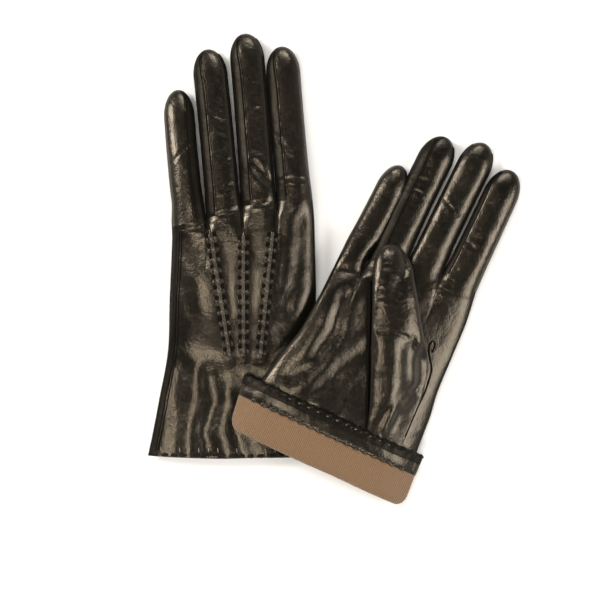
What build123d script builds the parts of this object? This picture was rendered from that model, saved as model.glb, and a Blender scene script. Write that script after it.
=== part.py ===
"""A pair of lined leather dress gloves laid on a table, as separate pieces.

The left glove lies palm down with its thumb folded under it. The right glove lies palm up, across the
left one's cuff, with its thumb on its palm and its own cuff turned up so that the knitted lining shows.

Each glove is drawn in its own frame: u runs across it towards the index finger, v runs from the cuff to
the fingertips and z is up. The frame is then turned and moved to the glove's place. Millimetres.
"""

import os
from dataclasses import dataclass
from math import ceil, cos, floor, hypot, radians, sin, sqrt

from build123d import *

# ---------------------------------------------------------------- driving dimensions
LEATHER = 0.8  # glove nappa
KNIT = 0.7  # knitted lining
EASE = 0.1  # between two layers
LINING_OUT = LEATHER + EASE
LINING_IN = LINING_OUT + KNIT

DOME = 11.0  # length of a rounded fingertip
ROOT = 8.0  # how far a finger's tube starts inside the palm
CROTCH_SLOPE = 0.22  # the crotches lie further out towards the index finger
FLEX_GAP = 6.2  # length of the soft sleeve at a finger's knuckle
FORK_HALF = 2.6  # half height of a fourchette
HEM = 11.0  # width of the leather facing at the cuff
THROAT_R = 8.0  # radius of the hole between palm and thumb
THROAT_AT = 8.0  # where it lies along the thumb
TURNUP = 31.0  # width of the turned-up cuff
TURNED_KNIT = 19.0  # width of the knit that shows on it
POINT_WIDTH = 6.5  # raised laced point on the back
POINT_PITCH = 6.1  # from one lacing lump to the next
STITCH_PITCH = 5.6  # from one hem stitch to the next
SKY = 60.0  # higher than anything in the pair
STATION = 14.0  # between two cross-sections of a palm


@dataclass
class Finger:
    """A finger's middle line from root to tip, its half widths there, and the share at which it flexes."""

    name: str
    root: tuple
    tip: tuple
    half_root: float
    half_tip: float
    knuckle: float

    def length(self):
        return hypot(self.tip[0] - self.root[0], self.tip[1] - self.root[1])

    def heading(self):
        size = self.length()
        return (self.tip[0] - self.root[0]) / size, (self.tip[1] - self.root[1]) / size

    def at(self, s):
        du, dv = self.heading()
        return self.root[0] + s * du, self.root[1] + s * dv


@dataclass
class Glove:
    """One glove. Palm rows are (v, middle u, half width, half height). Height rows are (v, height of the
    mid surface at the little finger's edge, in the middle and at the index finger's edge)."""

    name: str
    palm: list
    heights: list
    fingers: list
    half_height: float  # of a finger
    crotch: float
    thumb: Finger
    thumb_rows: list  # (along the thumb, half width, half height)
    thumb_below: bool
    points: list  # (u, v) of the fingers' end and the cuff's end of each raised point
    place: tuple
    turn: float


LEFT = Glove(
    name="left",
    palm=[
        (0, 0, 51, 4.6),
        (30, 1.5, 47.5, 4.6),
        (60, 3.2, 43.8, 4.8),
        (90, 5, 44, 5.2),
        (127, 5.3, 42.8, 5.6),
        (150, 4, 43.5, 5.6),
    ],
    heights=[
        (0, 5.0, 5.0, 5.0),
        (30, 5.0, 5.2, 5.0),
        (60, 5.6, 7.0, 5.4),
        (80, 7.0, 11.4, 8.2),
        (95, 8.6, 13.2, 10.4),
        (127, 10.4, 13.4, 11.4),
        (148, 11.6, 13.4, 12.0),
        (170, 11.0, 12.2, 11.2),
        (200, 8.2, 8.6, 8.2),
        (228, 5.9, 6.0, 5.9),
        (254, 5.4, 5.4, 5.4),
    ],
    fingers=[
        Finger("little", (-27.2, 139.0), (-34.6, 217.5), 9.6, 9.1, 0.52),
        Finger("ring", (-6.6, 142.0), (-16.6, 242.0), 10.3, 10.2, 0.56),
        Finger("middle", (14.3, 146.0), (5.8, 251.5), 10.3, 10.3, 0.53),
        Finger("index", (35.8, 150.0), (27.8, 243.7), 10.4, 10.2, 0.49),
    ],
    half_height=5.3,
    crotch=144.0,
    thumb=Finger("thumb", (28.0, 86.0), (-12.0, 160.0), 15.0, 12.0, 0.0),
    thumb_rows=[(-13, 8.0, 1.4), (-6, 13.0, 2.4), (4, 15.0, 3.1), (20, 15.0, 3.4), (45, 13.5, 3.4), (67, 12.2, 3.4)],
    thumb_below=True,
    points=[((-14.2, 130.2), (-2.8, 55.6)), ((5.2, 128.3), (5.2, 57.6)), ((22.6, 130.2), (15.1, 56.6))],
    place=(-60.7, -109.1),
    turn=0.0,
)
RIGHT = Glove(
    name="right",
    palm=[
        (0, 0, 55.2, 4.6),
        (33, 0, 51.4, 4.6),
        (69, 2.1, 45.5, 4.8),
        (92, 2.7, 44.2, 5.2),
        (115, 2.7, 43.6, 5.6),
        (136, 1.5, 43.4, 5.6),
    ],
    heights=[
        (0, 16.8, 16.2, 7.4),
        (33, 17.6, 15.8, 7.0),
        (69, 20.4, 13.6, 6.4),
        (92, 19.8, 12.0, 6.0),
        (115, 14.6, 10.0, 6.0),
        (136, 10.6, 8.4, 5.9),
        (165, 7.0, 6.6, 5.6),
        (195, 5.6, 5.6, 5.5),
        (220, 5.5, 5.5, 5.5),
    ],
    fingers=[
        Finger("little", (-32.4, 121.0), (-32.4, 182.5), 8.4, 7.8, 0.50),
        Finger("ring", (-13.5, 127.0), (-12.5, 211.0), 10.6, 10.6, 0.49),
        Finger("middle", (8.6, 132.0), (10.3, 217.5), 10.4, 10.3, 0.49),
        Finger("index", (31.6, 135.0), (31.8, 209.5), 11.2, 10.4, 0.47),
    ],
    half_height=5.3,
    crotch=130.5,
    thumb=Finger("thumb", (28.8, 56.0), (-15.2, 139.0), 17.5, 12.8, 0.0),
    thumb_rows=[(-14, 9.0, 1.7), (-7, 14.5, 3.2), (4, 17.0, 4.2), (30, 17.4, 4.6), (48, 16.0, 4.6), (76, 12.8, 4.5)],
    thumb_below=False,
    points=[((-15.7, 99.0), (-6.5, 38.0)), ((3.7, 97.5), (3.7, 38.0)), ((21.1, 99.0), (15.0, 38.0))],
    place=(-11.5, -116.6),
    turn=-25.0,
)
TURNUP_ROWS = [(0, 0, 55.2), (TURNUP, -3.6, 56.2)]  # the turned-up cuff flares: (v, middle u, half width)


# ---------------------------------------------------------------- shape of a glove
def smooth(rows, v, column):
    """Smooth value of a column at v, from rows that start with v."""
    v = min(max(v, rows[0][0]), rows[-1][0])
    i = max(k for k in range(len(rows) - 1) if rows[k][0] <= v)
    v0, v1 = rows[i][0], rows[i + 1][0]
    y0, y1 = rows[i][column], rows[i + 1][column]
    slopes = []
    for k in (i, i + 1):
        low, high = rows[max(k - 1, 0)], rows[min(k + 1, len(rows) - 1)]
        slopes.append((high[column] - low[column]) / (high[0] - low[0]) * (v1 - v0))
    t = (v - v0) / (v1 - v0)
    return (
        y0 * (2 * t**3 - 3 * t**2 + 1)
        + slopes[0] * (t**3 - 2 * t**2 + t)
        + y1 * (3 * t**2 - 2 * t**3)
        + slopes[1] * (t**3 - t**2)
    )


def along(rows, v, column):
    """The smooth value taken straight from one cross-section to the next, so that nested skins match."""
    low = floor(v / STATION) * STATION
    share = (v - low) / STATION
    return (1 - share) * smooth(rows, low, column) + share * smooth(rows, low + STATION, column)


def mid(glove, u, v):
    """Height of the glove's mid surface: it slopes across the glove and droops near its two edges."""
    little, middle, index = (along(glove.heights, v, k) for k in (1, 2, 3))
    across = (u - along(glove.palm, v, 1)) / along(glove.palm, v, 2)
    across = min(max(across, -1.0), 1.0)
    return middle + (index - little) / 2 * across + ((index + little) / 2 - middle) * across**4


def turned(glove, du, dv):
    """Direction in the pair's frame of a direction in the glove's own."""
    c, s = cos(radians(glove.turn)), sin(radians(glove.turn))
    return du * c - dv * s, du * s + dv * c


def spot(glove, u, v, z):
    """Point in the pair's frame of a point in the glove's own."""
    x, y = turned(glove, u, v)
    return glove.place[0] + x, glove.place[1] + y, z


def upright(glove, u, v, z, du, dv, roll=0.0):
    """Plane across the direction (du, dv): x towards the index side and rolled, y up, normal backwards."""
    ex, ey = turned(glove, du, dv)
    size = sqrt(1 + roll**2)
    return Plane(origin=spot(glove, u, v, z), x_dir=(ey / size, -ex / size, roll / size), z_dir=(-ex, -ey, 0))


def roll_at(glove, u, v, du, dv):
    """Rise of the mid surface per millimetre, across the direction (du, dv)."""
    reach = 4.0
    index_side = mid(glove, u + reach * dv, v - reach * du)
    little_side = mid(glove, u - reach * dv, v + reach * du)
    return (index_side - little_side) / (2 * reach)


def palm_tube(glove, inset, first, last, rows=None, slope=CROTCH_SLOPE):
    """Solid inside the palm's skin, drawn in by inset, from v = first to v = last."""
    rows = rows or glove.palm
    end = last - 2 - slope * 45
    inner = [STATION * k for k in range(ceil((first + 1) / STATION), ceil(end / STATION))]
    with BuildPart() as tube:
        for v in [first, *inner, last]:
            lean = slope if v == last else 0.0
            stretch = sqrt(1 + lean**2)
            centre = along(rows, v, 1)
            half_w = along(rows, v, 2) - inset
            half_h = along(glove.palm, v, 3) - inset
            flat = half_w - half_h
            shares = [flat * share for share in (-1, -0.8, -0.45, 0, 0.45, 0.8, 1)]
            heights = [mid(glove, centre + x, v + lean * x) for x in shares]
            edges = [mid(glove, centre + x, v + lean * x) for x in (-half_w, half_w)]
            with BuildSketch(upright(glove, centre, v, 0, -lean / stretch, 1 / stretch)):
                with BuildLine():
                    top = Spline([(x * stretch, z + half_h) for x, z in zip(shares, heights)])
                    foot = Spline([(x * stretch, z - half_h) for x, z in zip(shares, heights)])
                    ThreePointArc(top @ 1, (half_w * stretch, edges[1]), foot @ 1)
                    ThreePointArc(top @ 0, (-half_w * stretch, edges[0]), foot @ 0)
                make_face()
        loft(ruled=True)
    return tube.part


def finger_tube(glove, finger, inset):
    """Solid inside a finger's skin, from inside the palm to the tip."""
    size, du, dv = finger.length(), *finger.heading()
    dome = DOME - inset
    straight = [-ROOT, size * 0.2, size * 0.4, size * 0.6, size * 0.75, size - DOME]
    rounded = [size - DOME + dome * share for share in (0.35, 0.6, 0.8, 0.92, 0.985)]
    with BuildPart() as tube:
        for s in straight + rounded:
            u, v = finger.at(s)
            share = min(max(s / size, 0.0), 1.0)
            half_w = finger.half_root + (finger.half_tip - finger.half_root) * share
            round_off = sqrt(1 - (max(s - (size - DOME), 0.0) / dome) ** 2)
            roll = roll_at(glove, u, v, du, dv)
            with BuildSketch(upright(glove, u, v, mid(glove, u, v), du, dv, roll)):
                Ellipse((half_w - inset) * round_off, (glove.half_height - inset) * round_off)
        loft(ruled=True)
    return tube.part


def thumb_place(glove, s, half_h):
    """Plane across the thumb: it lies flat on the table, or along the top of the palm."""
    du, dv = glove.thumb.heading()
    u, v = glove.thumb.at(s)
    if glove.thumb_below:
        return upright(glove, u, v, half_h + 0.1, du, dv)
    height = mid(glove, u, v) + along(glove.palm, v, 3) + half_h + 0.5
    return upright(glove, u, v, height, du, dv, roll_at(glove, u, v, du, dv))


def thumb_tube(glove, inset):
    """Solid inside the thumb's skin, closed at both ends."""
    size = glove.thumb.length()
    last, tip_w, tip_h = glove.thumb_rows[-1]
    with BuildPart() as tube:
        for s, half_w, half_h in glove.thumb_rows:
            start = s == glove.thumb_rows[0][0]
            with BuildSketch(thumb_place(glove, s + inset * start, half_h)):
                Ellipse(half_w - inset, max(half_h - inset, 0.2))
        for share in (0.45, 0.75, 0.92, 0.995):
            round_off = sqrt(1 - share**2)
            with BuildSketch(thumb_place(glove, last + (size - last - inset) * share, tip_h)):
                Ellipse((tip_w - inset) * round_off, (tip_h - inset) * round_off)
        loft(ruled=True)
    return tube.part


def upper_block(glove):
    """Everything above the glove's mid surface. It parts the upper leather from the lower."""
    stations = [row[0] for row in glove.heights]
    stations[0] -= 6
    stations[-1] += 10
    with BuildPart() as block:
        for v in stations:
            centre, half_w = along(glove.palm, v, 1), along(glove.palm, v, 2) + 14
            shares = [half_w * share for share in (-1, -0.6, -0.3, 0, 0.3, 0.6, 1)]
            with BuildSketch(upright(glove, centre, v, 0, 0, 1)):
                with BuildLine():
                    seam = Spline([(x, mid(glove, centre + x, v)) for x in shares])
                    Polyline([seam @ 1, (half_w, SKY), (-half_w, SKY), seam @ 0])
                make_face()
        loft(ruled=True)
    return block.part


def knuckle_plane(glove, finger, back=0.0):
    """Plane across a finger at its knuckle, or further back. Its normal faces the palm."""
    du, dv = finger.heading()
    u, v = finger.at(finger.length() * finger.knuckle - back)
    return upright(glove, u, v, mid(glove, u, v), du, dv, roll_at(glove, u, v, du, dv))


def palm_side(part, plane):
    """What lies on the palm's side of a plane across a finger."""
    with BuildPart() as cut:
        add(part)
        split(bisect_by=plane, keep=Keep.TOP)
    return cut.part


def tip_side(part, plane):
    """What lies on the fingertip's side of a plane across a finger."""
    with BuildPart() as cut:
        add(part)
        split(bisect_by=plane, keep=Keep.BOTTOM)
    return cut.part


def fork_bar(glove, one, other):
    """Bar in the gap between two fingers, from inside the palm to past both knuckles."""
    with BuildPart() as bar:
        for v in (glove.crotch - 7, glove.crotch + 12, glove.crotch + 60):
            middles = []
            for finger in (one, other):
                du, dv = finger.heading()
                middles.append(finger.root[0] + (v - finger.root[1]) * du / dv)
            u = (middles[0] + one.half_root + middles[1] - other.half_root) / 2
            with BuildSketch(upright(glove, u, v, mid(glove, u, v), 0, 1, roll_at(glove, u, v, 0, 1))):
                Rectangle(6.4, 2 * FORK_HALF)
        loft()
    return bar.part


def side_bar(glove, finger, side):
    """Bar along one side of a finger, from its knuckle almost to its tip."""
    size, du, dv = finger.length(), *finger.heading()
    with BuildPart() as bar:
        for s in (size * finger.knuckle - 4, size * 0.75, size - 5):
            u, v = finger.at(s)
            with BuildSketch(upright(glove, u, v, mid(glove, u, v), du, dv, roll_at(glove, u, v, du, dv))):
                with Locations((side * finger.half_root, 0)):
                    Rectangle(6.4, 2 * FORK_HALF)
        loft()
    return bar.part


def throat(glove):
    """Round hole between the inside of the palm and the inside of the thumb."""
    u, v = glove.thumb.at(THROAT_AT)
    half_h = along(glove.thumb_rows, THROAT_AT, 2)
    levels = sorted((mid(glove, u, v), thumb_place(glove, THROAT_AT, half_h).origin.Z))
    with BuildPart() as hole:
        with BuildSketch(Plane(spot(glove, u, v, levels[0]))):
            Circle(THROAT_R)
        extrude(amount=levels[1] - levels[0])
    return hole.part


def finish(glove, name, builder):
    """Labels a finished piece and writes it under its node's name."""
    node = f"{glove.name}_{name}"
    builder.part.label = node
    export_step(builder.part, f"parts/{node}.step")
    print(node, len(builder.part.solids()), "solids", round(builder.part.volume), "mm3")


# ---------------------------------------------------------------- pieces of both gloves
os.makedirs("parts", exist_ok=True)
INSETS = (0.0, LEATHER, LINING_OUT, LINING_IN)

for glove in (LEFT, RIGHT):
    open_start = glove.palm[0][0] - 3
    back_up = glove.thumb_below
    fingers = {inset: {f.name: finger_tube(glove, f, inset) for f in glove.fingers} for inset in INSETS}
    palms = {0.0: palm_tube(glove, 0.0, glove.palm[0][0], glove.crotch)}
    for inset in INSETS[1:]:
        palms[inset] = palm_tube(glove, inset, open_start, glove.crotch - inset)
    block = upper_block(glove)
    hole = throat(glove)
    forks = [fork_bar(glove, *pair) for pair in zip(glove.fingers, glove.fingers[1:])]

    # leather of the palm, the back and the finger roots, before it is parted at its seams
    with BuildPart() as leather:
        add(palms[0.0])
        for finger in glove.fingers:
            add(palm_side(fingers[0.0][finger.name], knuckle_plane(glove, finger, FLEX_GAP + EASE)))
        add(palms[LEATHER], mode=Mode.SUBTRACT)
        for finger in glove.fingers:
            add(fingers[LEATHER][finger.name], mode=Mode.SUBTRACT)
        add(hole, mode=Mode.SUBTRACT)

    with BuildPart() as upper:
        add(leather.part)
        for fork in forks:
            add(fork, mode=Mode.SUBTRACT)
        add(block, mode=Mode.INTERSECT)
    finish(glove, "hand_back" if back_up else "hand_palm", upper)

    with BuildPart() as lower:
        add(leather.part)
        for fork in forks:
            add(fork, mode=Mode.SUBTRACT)
        add(block, mode=Mode.SUBTRACT)
    finish(glove, "hand_palm" if back_up else "hand_back", lower)

    # fourchettes: the forked side pieces between two fingers, up to the knuckles
    for fork, (one, other) in zip(forks, zip(glove.fingers, glove.fingers[1:])):
        with BuildPart() as fourchette:
            add(leather.part)
            add(fork, mode=Mode.INTERSECT)
        finish(glove, f"fourchette_{other.name}_{one.name}", fourchette)

    # knitted lining of the palm and the finger roots
    lining_start = glove.palm[0][0] + (HEM if back_up else -0.9)
    with BuildPart() as hand_lining:
        add(palm_tube(glove, LINING_OUT, lining_start, glove.crotch - LINING_OUT))
        for finger in glove.fingers:
            add(palm_side(fingers[LINING_OUT][finger.name], knuckle_plane(glove, finger, FLEX_GAP + EASE)))
        add(palms[LINING_IN], mode=Mode.SUBTRACT)
        for finger in glove.fingers:
            add(fingers[LINING_IN][finger.name], mode=Mode.SUBTRACT)
        add(hole, mode=Mode.SUBTRACT)
    finish(glove, "hand_lining", hand_lining)

    # leather facing at the hem: inside the left cuff, outside on the right one, which is turned up
    with BuildPart() as hem_facing:
        if back_up:
            add(palm_tube(glove, LINING_OUT, 0.3, HEM - EASE, slope=0))
            add(palm_tube(glove, LINING_OUT + LEATHER, -2, HEM + 4, slope=0), mode=Mode.SUBTRACT)
        else:
            add(palm_tube(glove, -1.8, TURNED_KNIT + EASE, TURNUP, TURNUP_ROWS, 0))
            add(palm_tube(glove, -1.05, TURNED_KNIT - 8, TURNUP + 8, TURNUP_ROWS, 0), mode=Mode.SUBTRACT)
    finish(glove, "hem_facing", hem_facing)

    # raised points on the back: three laced ribs
    side = 1 if back_up else -1
    with BuildPart() as points:
        for far, near in glove.points:
            length = hypot(near[0] - far[0], near[1] - far[1])
            du, dv = (far[0] - near[0]) / length, (far[1] - near[1]) / length
            count = int(length / POINT_PITCH)
            rib = []
            for k in range(count + 1):
                s = k * length / count
                u, v = near[0] + s * du, near[1] + s * dv
                rib.append((u, v, mid(glove, u, v) + side * (along(glove.palm, v, 3) - 0.1)))
            with BuildSketch(upright(glove, *rib[0], du, dv)) as foot:
                Rectangle(POINT_WIDTH, 1.4)
            with BuildLine() as path:
                Spline([spot(glove, *point) for point in rib])
            sweep(foot.sketch, path=path.wires()[0])
            for k in range(count):
                u, v, z = ((a + b) / 2 for a, b in zip(rib[k], rib[k + 1]))
                lump_plane = upright(glove, u, v, z - side * 0.8, -dv, du)
                with BuildSketch(lump_plane):
                    Circle(2.3)
                extrude(amount=POINT_WIDTH / 2 - 0.3, both=True)
        add(palms[0.0], mode=Mode.SUBTRACT)
    finish(glove, "points", points)

    # thread of the hem: a row of short stitches
    with BuildPart() as hem_stitches:
        rows = TURNUP_ROWS if not back_up else glove.palm
        out = 0.0 if back_up else 1.8
        v = 3.4 if back_up else TURNUP - 3.4
        reach = along(rows, v, 2) - along(glove.palm, v, 3)
        count = int(2 * reach / STITCH_PITCH)
        for face in (1,) if back_up else (1, -1):  # the left one's underside lies on the table
            for k in range(count + 1):
                u = along(rows, v, 1) - reach + 2 * reach * k / count
                z = mid(glove, u, v) + face * (along(glove.palm, v, 3) + out + 0.12)
                with BuildSketch(upright(glove, u, v - 1.6, z, 0, 1)):
                    Circle(0.24)
                extrude(amount=-3.2)
        skin = palm_tube(glove, -out - 0.02, v - 12, v + 12, rows, 0)
        add(skin, mode=Mode.SUBTRACT)
    finish(glove, "hem_stitches", hem_stitches)

    # fingers: flexing sleeve at the knuckle, then the sheath, its fourchettes and its lining
    for number, finger in enumerate(glove.fingers):
        with BuildPart() as knuckle:
            add(tip_side(fingers[0.0][finger.name], knuckle_plane(glove, finger, FLEX_GAP)))
            split(bisect_by=knuckle_plane(glove, finger, EASE), keep=Keep.TOP)
            add(fingers[LINING_IN][finger.name], mode=Mode.SUBTRACT)
        finish(glove, f"{finger.name}_knuckle", knuckle)

        sides = [side for side, free in ((-1, number == 0), (1, number == 3)) if not free]
        bars = [side_bar(glove, finger, side) for side in sides]
        with BuildPart() as skin:
            add(tip_side(fingers[0.0][finger.name], knuckle_plane(glove, finger)))
            add(fingers[LEATHER][finger.name], mode=Mode.SUBTRACT)

        with BuildPart() as sheath:
            add(skin.part)
            for bar in bars:
                add(bar, mode=Mode.SUBTRACT)
        finish(glove, f"{finger.name}_sheath", sheath)

        with BuildPart() as gussets:
            for bar in bars:
                add(bar)
            add(skin.part, mode=Mode.INTERSECT)
        finish(glove, f"{finger.name}_gussets", gussets)

        with BuildPart() as lining:
            add(tip_side(fingers[LINING_OUT][finger.name], knuckle_plane(glove, finger)))
            add(fingers[LINING_IN][finger.name], mode=Mode.SUBTRACT)
        finish(glove, f"{finger.name}_lining", lining)

    # thumb
    with BuildPart() as thumb_leather:
        add(thumb_tube(glove, 0.0))
        add(thumb_tube(glove, LEATHER), mode=Mode.SUBTRACT)
        add(hole, mode=Mode.SUBTRACT)
    finish(glove, "thumb_leather", thumb_leather)

    with BuildPart() as thumb_lining:
        add(thumb_tube(glove, LINING_OUT))
        add(thumb_tube(glove, LINING_IN), mode=Mode.SUBTRACT)
        add(hole, mode=Mode.SUBTRACT)
    finish(glove, "thumb_lining", thumb_lining)

# ---------------------------------------------------------------- turned-up cuff of the right glove
glove = RIGHT
with BuildPart() as turnup_leather:
    add(palm_tube(glove, -0.95, -0.95, TURNUP, TURNUP_ROWS, 0))
    add(palm_tube(glove, -0.2, -0.15, TURNUP + 8, TURNUP_ROWS, 0), mode=Mode.SUBTRACT)
    add(palm_tube(glove, LEATHER, -6, 8, slope=0), mode=Mode.SUBTRACT)
finish(glove, "turnup_leather", turnup_leather)

with BuildPart() as turnup_lining:
    add(palm_tube(glove, -1.8, -1.8, TURNED_KNIT, TURNUP_ROWS, 0))
    add(palm_tube(glove, -1.05, -1.05, TURNUP + 8, TURNUP_ROWS, 0), mode=Mode.SUBTRACT)
    add(palm_tube(glove, LINING_IN, -6, 8, slope=0), mode=Mode.SUBTRACT)
finish(glove, "turnup_lining", turnup_lining)
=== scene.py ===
"""A pair of lined black leather dress gloves on a pale table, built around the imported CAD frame.

Every surface is made from a glove's own flat frame (u across towards the index finger, v from the cuff to
the fingertips, z up, millimetres) and then placed in the pair, in metres.
"""

import math

import bmesh
import bpy
import numpy as np
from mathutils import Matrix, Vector
from mathutils.kdtree import KDTree


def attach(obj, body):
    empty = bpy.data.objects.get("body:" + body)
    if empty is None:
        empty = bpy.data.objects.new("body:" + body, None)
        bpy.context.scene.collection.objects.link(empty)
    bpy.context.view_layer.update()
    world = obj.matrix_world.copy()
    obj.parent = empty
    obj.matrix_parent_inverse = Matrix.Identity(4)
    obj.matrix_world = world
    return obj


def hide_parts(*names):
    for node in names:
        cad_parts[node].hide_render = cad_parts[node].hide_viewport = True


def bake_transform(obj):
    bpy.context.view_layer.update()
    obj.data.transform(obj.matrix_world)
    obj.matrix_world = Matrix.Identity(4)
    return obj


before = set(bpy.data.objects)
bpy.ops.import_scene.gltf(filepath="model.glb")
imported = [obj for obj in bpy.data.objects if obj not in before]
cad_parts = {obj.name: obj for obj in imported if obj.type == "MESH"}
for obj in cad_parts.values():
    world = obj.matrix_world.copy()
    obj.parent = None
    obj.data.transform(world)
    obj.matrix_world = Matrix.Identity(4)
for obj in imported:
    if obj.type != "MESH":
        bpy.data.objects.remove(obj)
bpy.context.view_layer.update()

# ---------------------------------------------------------------- dimensions in millimetres
# edges: v, then the palm's left and right outline. palm: v, middle line, half width, half height.
# heights: v, then the middle's height at the left edge, in the middle and at the right edge.
# fingers: root, tip, half width at the root and at the tip, place of the knuckle along it, sideways bow.
# points: far and near end of each raised point. seams: place of the seams across each finger, -1 to 1.
SHIFT = (-1.9, 1.31)  # puts the pair's footprint on the frame's origin
FINGERS = ("little", "ring", "middle", "index")
LEFT = dict(
    name="left", turn=0.0, place=(-58.8, -110.4), up="back",
    edges=[(0, -51, 51), (15, -48.6, 50.2), (30, -46, 49), (60, -40.5, 47), (90, -39, 48.6), (127, -37, 48),
           (140, -37.4, 47.6), (152, -38, 46.6)],
    palm=[(0, 0, 51, 4.6), (30, 1.5, 47.5, 4.6), (60, 3.2, 43.8, 4.8), (90, 5, 44, 5.2),
          (127, 5.3, 42.8, 5.6), (150, 4, 43.5, 5.6)],
    heights=[(0, 5, 5, 5), (30, 5, 5.2, 5), (60, 5.6, 7, 5.4), (80, 7, 11.4, 8.2), (95, 8.6, 13.2, 10.4),
             (127, 10.4, 13.4, 11.4), (148, 11.6, 13.4, 12), (170, 11, 12.2, 11.2), (200, 8.2, 8.6, 8.2),
             (228, 5.9, 6, 5.9), (254, 5.4, 5.4, 5.4)],
    fingers=[
        ((-27.2, 139), (-34.6, 217.5), 9.6, 9.1, 0.52, -0.6),
        ((-6.6, 142), (-16.6, 242), 10.3, 10.2, 0.56, 0.3),
        ((14.3, 146), (5.8, 251.5), 10.3, 10.3, 0.53, 0.4),
        ((35.8, 150), (27.8, 243.7), 10.4, 10.2, 0.49, -0.4),
    ],
    crotches=[(-37.9, 135), (-17.3, 139.5), (3.8, 147), (25.0, 150.5), (46.6, 151)],
    thumb=((28, 86), (-12, 160)),
    thumb_rows=[(-13, 8, 1.4), (-6, 13, 2.4), (4, 15, 3.1), (20, 15, 3.4), (45, 13.5, 3.4), (67, 12.2, 3.4)],
    points=[((-14.2, 130.2), (-2.8, 55.6)), ((5.2, 128.3), (5.2, 57.6)), ((22.6, 130.2), (15.1, 56.6))],
    seams=[(-0.99, 0.42), (-0.47, 0.97), (-0.45, 0.97), (-0.45, 0.99)],
)
RIGHT = dict(
    name="right", turn=-25.0, place=(-9.6, -117.9), up="palm",
    edges=[(0, -55.2, 55.2), (20, -53.2, 52.8), (33, -51.6, 51.2), (55, -47, 49.6), (69, -43.3, 47.6),
           (92, -41.3, 46.8), (115, -40.5, 46), (134, -40.2, 43.6)],
    palm=[(0, 0, 55.2, 4.6), (33, 0, 51.4, 4.6), (69, 2.1, 45.5, 4.8), (92, 2.7, 44.2, 5.2),
          (115, 2.7, 43.6, 5.6), (136, 1.5, 43.4, 5.6)],
    heights=[(0, 16.8, 16.2, 7.4), (33, 17.6, 15.8, 7), (69, 20.4, 13.6, 6.4), (92, 19.8, 12, 6),
             (115, 14.6, 10, 6), (136, 10.6, 8.4, 5.9), (165, 7, 6.6, 5.6), (195, 5.6, 5.6, 5.5),
             (220, 5.5, 5.5, 5.5)],
    fingers=[
        ((-31.7, 121), (-29.6, 184.0), 9.5, 8.9, 0.5, 0.5),
        ((-13.5, 127), (-12.5, 211), 10.6, 10.6, 0.49, -0.6),
        ((8.6, 132), (10.3, 217.5), 10.4, 10.3, 0.49, -0.3),
        ((31.6, 135), (31.8, 209.5), 11.2, 10.4, 0.47, 0.0),
    ],
    crotches=[(-40.9, 120), (-24.1, 123.5), (-2.4, 132), (19.8, 135.5), (43.0, 134)],
    thumb=((28.8, 56), (-15.2, 139)),
    points=[((-15.7, 99), (-6.5, 38)), ((3.7, 97.5), (3.7, 38)), ((21.1, 99), (15, 38))],
    seams=[(-0.98, 0.9), (-0.4, 0.97), (-0.95, 0.97), (-0.72, 0.99)],
)
FINGER_H = 5.3  # half height of a finger
DOME = 16.0  # length of a fingertip's dome
ROOT_BLEND = 16.0  # a finger takes over from the palm's width along this length
TURNUP = 31.0  # height of the turned-up cuff
HEM_V = 30.0  # the left cuff flares below this
HEM_BOW = 3.6  # how far its hem bows out in the middle
HEM_SIDE = 1.3  # how much less it does so at the sides
HEM_FLARE = 0.03
POINT_STEP = 6.1  # pitch of a raised point's beads
COLUMNS = 26  # across one finger's strip
PALM_ROWS = 130
FINGER_ROWS = 84
DOME_ROWS = 16
THUMB_ROWS = 60
THUMB_GROWN_ROWS = 74
THUMB_COLUMNS = 53
WELD = 0.00002  # metres
UV_SCALE = 100  # millimetres of leather for one unit of the flat map
rng = np.random.default_rng(7)


def smooth_table(rows):
    """Smooth columns of a table whose first column is v, sampled every millimetre."""
    rows = np.array(rows, float)
    grid = np.arange(-8.0, 262.0, 1.0)
    v = rows[:, 0]
    after = np.minimum(np.arange(len(v)) + 1, len(v) - 1)
    before = np.maximum(np.arange(len(v)) - 1, 0)
    out = []
    for k in range(1, rows.shape[1]):
        y = rows[:, k]
        m = (y[after] - y[before]) / (v[after] - v[before])
        x = np.clip(grid, v[0], v[-1])
        i = np.clip(np.searchsorted(v, x, side="right") - 1, 0, len(v) - 2)
        h = v[i + 1] - v[i]
        t = (x - v[i]) / h
        near = y[i] * (2 * t**3 - 3 * t**2 + 1) + m[i] * h * (t**3 - 2 * t**2 + t)
        out.append(near + y[i + 1] * (3 * t**2 - 2 * t**3) + m[i + 1] * h * (t**3 - t**2))
    return grid, out


for g in (LEFT, RIGHT):
    g["t_palm"] = smooth_table(g["palm"])
    g["t_edges"] = smooth_table(g["edges"])
    g["t_heights"] = smooth_table(g["heights"])


def look(table, k, v):
    """Column k of a smoothed table at v."""
    return np.interp(v, table[0], table[1][k])


def mid(g, u, v):
    """Height of the middle of a glove's thickness."""
    lo, me, hi = (look(g["t_heights"], k, v) for k in range(3))
    a = np.clip((u - look(g["t_palm"], 0, v)) / look(g["t_palm"], 1, v), -1, 1)
    return me + (hi - lo) / 2 * a + ((hi + lo) / 2 - me) * a**4


def place(g, u, v, z):
    """Local millimetres to world metres. The left cuff flares and its hem bows towards the wearer."""
    a = math.radians(g["turn"])
    if g is LEFT:
        near = np.clip(1 - v / HEM_V, 0, 1.1) ** 2
        v = v - near * (HEM_BOW - HEM_SIDE * np.minimum((u / LEFT["palm"][0][2]) ** 2, 1.2))
        u = u * (1 + HEM_FLARE * near)
    x = g["place"][0] + SHIFT[0] + u * math.cos(a) - v * math.sin(a)
    y = g["place"][1] + SHIFT[1] + u * math.sin(a) + v * math.cos(a)
    return np.stack([x, y, z], -1) / 1000


def step(x, a, b):
    """Rises smoothly from 0 at a to 1 at b."""
    t = np.clip((x - a) / (b - a), 0, 1)
    return t * t * (3 - 2 * t)


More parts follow.
